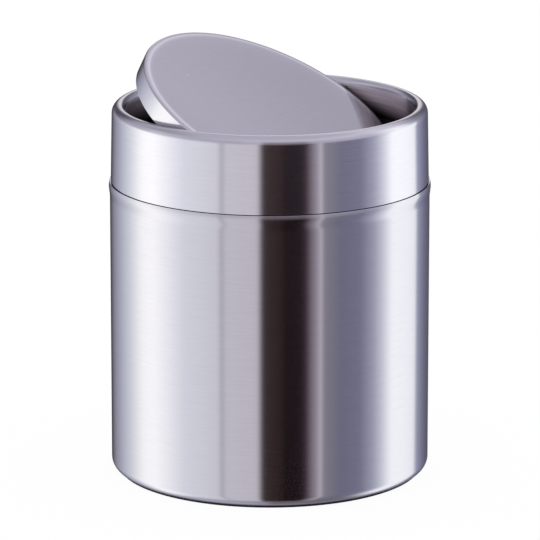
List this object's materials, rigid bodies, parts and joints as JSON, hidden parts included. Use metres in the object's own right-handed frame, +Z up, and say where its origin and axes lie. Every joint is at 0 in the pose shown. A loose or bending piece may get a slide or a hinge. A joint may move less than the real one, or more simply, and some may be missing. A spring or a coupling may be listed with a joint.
{
  "type": "countertop bin",
  "caption": "Round steel countertop bin with a lift-off double-walled collar and a self-levelling round push flap tipped open.",
  "frame": {"origin": "centre of the base, on the surface that the bin stands on", "axes": "+Z up through the mouth; the flap's pivot axis runs along Y; +X is the side that the tipped flap lowers"},
  "size_m": [0.12, 0.12, 0.1602],
  "materials": {
    "can_steel": "fine horizontal brushing, satin",
    "collar_steel": "fine horizontal brushing, satin",
    "flap_steel": "straight fine brushing, satin",
    "pin_steel": "turned, bright",
    "weight_steel": "zinc plated, dull",
    "black_polypropylene": "moulded, fine grain",
    "black_acetal": "moulded, smooth",
    "base_rubber": "matt",
    "grip_rubber": "matt"
  },
  "bodies": {
    "can": {"bin_body": "can_steel", "base_ring": "base_rubber"},
    "grip": {"grip_ring": "grip_rubber"},
    "collar": {"collar_shell": "collar_steel", "collar_core": "black_polypropylene", "pivot_pin_front": "pin_steel", "pivot_pin_rear": "pin_steel"},
    "flap": {"flap_cover": "flap_steel", "flap_carrier": "black_polypropylene", "closing_weight": "weight_steel", "flap_underplate": "black_polypropylene", "underplate_screws": "pin_steel", "pivot_bush_front": "black_acetal", "pivot_bush_rear": "black_acetal"}
  },
  "joints": [
    {"name": "lid_lift", "type": "slide", "parent": "can", "child": "grip", "axis": [0, 0, 1], "range_m": [0, 0.06]},
    {"name": "lid_turn", "type": "hinge", "parent": "grip", "child": "collar", "pos_m": [0, 0, 0.109], "axis": [0, 0, 1], "continuous": true},
    {"name": "flap_swing", "type": "hinge", "parent": "collar", "child": "flap", "pos_m": [0, 0, 0.1347], "axis": [0, 1, 0], "range_deg": [-99.5, 44.5]}
  ]
}
